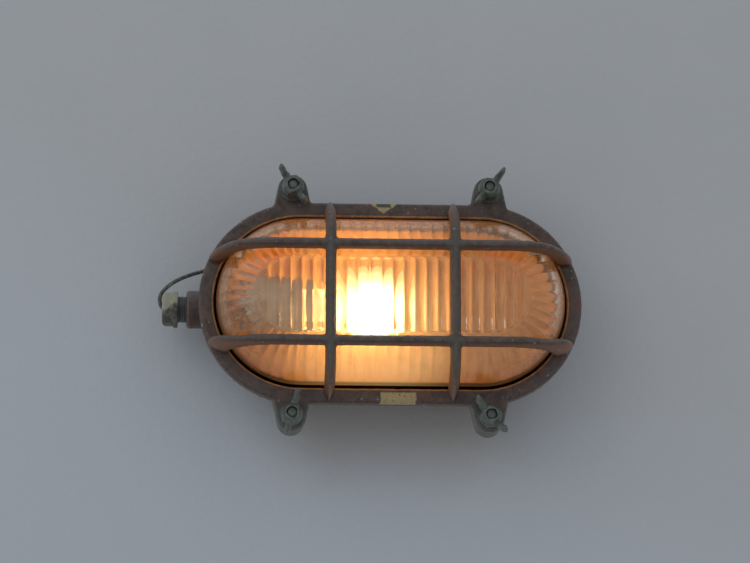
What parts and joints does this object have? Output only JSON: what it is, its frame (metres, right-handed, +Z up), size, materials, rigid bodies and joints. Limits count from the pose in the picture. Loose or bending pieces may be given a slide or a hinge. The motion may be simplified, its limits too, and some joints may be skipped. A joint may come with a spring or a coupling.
{
  "type": "caged bulkhead wall light",
  "caption": "Obround cast metal bulkhead wall light with a reeded glass dome, a bar guard held by wing nuts, a cable gland and a screw-in lamp.",
  "frame": {"origin": "middle of the dish's flat back face, on the wall", "axes": "+X along the long side, gland at -X; +Y into the wall, so the light stands out along -Y; +Z up"},
  "size_m": [0.3209, 0.1035, 0.2098],
  "materials": {
    "patina_bronze": "cast bronze with dark brown mottled patina and worn paint, rough",
    "verdigris_brass": "cast brass gone grey-green, rough",
    "grey_paint": "old grey and cream paint on brass, rough",
    "clean_brass": "drawn brass, satin",
    "zinc_steel": "zinc-plated steel, satin",
    "black_rubber": "aged rubber, matt",
    "dome_glass": "pressed reeded glass, clear with dirt, gloss",
    "lamp_glass": "thin lamp glass, lit from within",
    "porcelain": "glazed white porcelain",
    "lead_sheath": "grey-green weathered cable sheath",
    "wire_brown": "brown wire insulation",
    "wire_blue": "blue wire insulation",
    "filament_wire": "glass stem, support wires and glowing filament"
  },
  "bodies": {
    "housing": {"base_housing": "patina_bronze", "glass_gasket": "black_rubber", "gland_body": "verdigris_brass", "gland_seal": "black_rubber", "gland_washer": "clean_brass", "supply_lead": "lead_sheath", "lead_tail": "lead_sheath", "live_wire": "wire_brown", "neutral_wire": "wire_blue", "terminal_screw_live": "clean_brass", "terminal_screw_neutral": "clean_brass", "lampholder_body": "porcelain", "lampholder_shell": "clean_brass", "lampholder_contact": "clean_brass", "holder_lock_nut": "zinc_steel", "holder_bracket": "zinc_steel", "holder_screw_top": "zinc_steel", "holder_screw_bottom": "zinc_steel", "stud_tl": "verdigris_brass", "stud_tr": "verdigris_brass", "stud_bl": "verdigris_brass", "stud_br": "verdigris_brass"},
    "guard": {"guard": "patina_bronze", "glass_dome": "dome_glass"},
    "gland_nut": {"gland_nut": "grey_paint"},
    "bulb_contact": {"bulb_tip": "clean_brass"},
    "bulb": {"bulb_cap": "clean_brass", "bulb_glass": "lamp_glass", "bulb_stem": "filament_wire"},
    "nut_washer_tl": {"nut_washer_tl": "verdigris_brass"},
    "wing_nut_tl": {"wing_nut_tl": "verdigris_brass"},
    "nut_washer_tr": {"nut_washer_tr": "verdigris_brass"},
    "wing_nut_tr": {"wing_nut_tr": "verdigris_brass"},
    "nut_washer_bl": {"nut_washer_bl": "verdigris_brass"},
    "wing_nut_bl": {"wing_nut_bl": "verdigris_brass"},
    "nut_washer_br": {"nut_washer_br": "verdigris_brass"},
    "wing_nut_br": {"wing_nut_br": "verdigris_brass"}
  },
  "joints": [
    {"name": "guard_lift", "type": "slide", "parent": "housing", "child": "guard", "axis": [0, -1, 0], "range_m": [0, 0.045]},
    {"name": "nut_washer_tl_slide", "type": "slide", "parent": "guard", "child": "nut_washer_tl", "axis": [0, -1, 0], "range_m": [0, 0.014]},
    {"name": "wing_nut_tl_turn", "type": "hinge", "parent": "nut_washer_tl", "child": "wing_nut_tl", "pos_m": [-0.0745, -0.072, 0.0878], "axis": [0, -1, 0], "range_deg": [0, 3960]},
    {"name": "nut_washer_tr_slide", "type": "slide", "parent": "guard", "child": "nut_washer_tr", "axis": [0, -1, 0], "range_m": [0, 0.014]},
    {"name": "wing_nut_tr_turn", "type": "hinge", "parent": "nut_washer_tr", "child": "wing_nut_tr", "pos_m": [0.0745, -0.072, 0.0878], "axis": [0, -1, 0], "range_deg": [0, 3960]},
    {"name": "nut_washer_bl_slide", "type": "slide", "parent": "guard", "child": "nut_washer_bl", "axis": [0, -1, 0], "range_m": [0, 0.014]},
    {"name": "wing_nut_bl_turn", "type": "hinge", "parent": "nut_washer_bl", "child": "wing_nut_bl", "pos_m": [-0.0745, -0.072, -0.0878], "axis": [0, -1, 0], "range_deg": [0, 3960]},
    {"name": "nut_washer_br_slide", "type": "slide", "parent": "guard", "child": "nut_washer_br", "axis": [0, -1, 0], "range_m": [0, 0.014]},
    {"name": "wing_nut_br_turn", "type": "hinge", "parent": "nut_washer_br", "child": "wing_nut_br", "pos_m": [0.0745, -0.072, -0.0878], "axis": [0, -1, 0], "range_deg": [0, 3960]},
    {"name": "gland_nut_turn", "type": "hinge", "parent": "housing", "child": "gland_nut", "pos_m": [-0.167, -0.032, 0], "axis": [-1, 0, 0], "range_deg": [0, 90]},
    {"name": "bulb_contact_slide", "type": "slide", "parent": "housing", "child": "bulb_contact", "axis": [1, 0, 0], "range_m": [0, 0.026]},
    {"name": "bulb_turn", "type": "hinge", "parent": "bulb_contact", "child": "bulb", "pos_m": [-0.04, -0.05, 0], "axis": [1, 0, 0], "range_deg": [0, 2520]}
  ],
  "couplings": [
    {"joint": "nut_washer_tl_slide", "follows": "wing_nut_tl_turn", "m_per_rad": 0.00019894},
    {"joint": "nut_washer_tr_slide", "follows": "wing_nut_tr_turn", "m_per_rad": 0.00019894},
    {"joint": "nut_washer_bl_slide", "follows": "wing_nut_bl_turn", "m_per_rad": 0.00019894},
    {"joint": "nut_washer_br_slide", "follows": "wing_nut_br_turn", "m_per_rad": 0.00019894},
    {"joint": "bulb_contact_slide", "follows": "bulb_turn", "m_per_rad": 0.00057757}
  ]
}
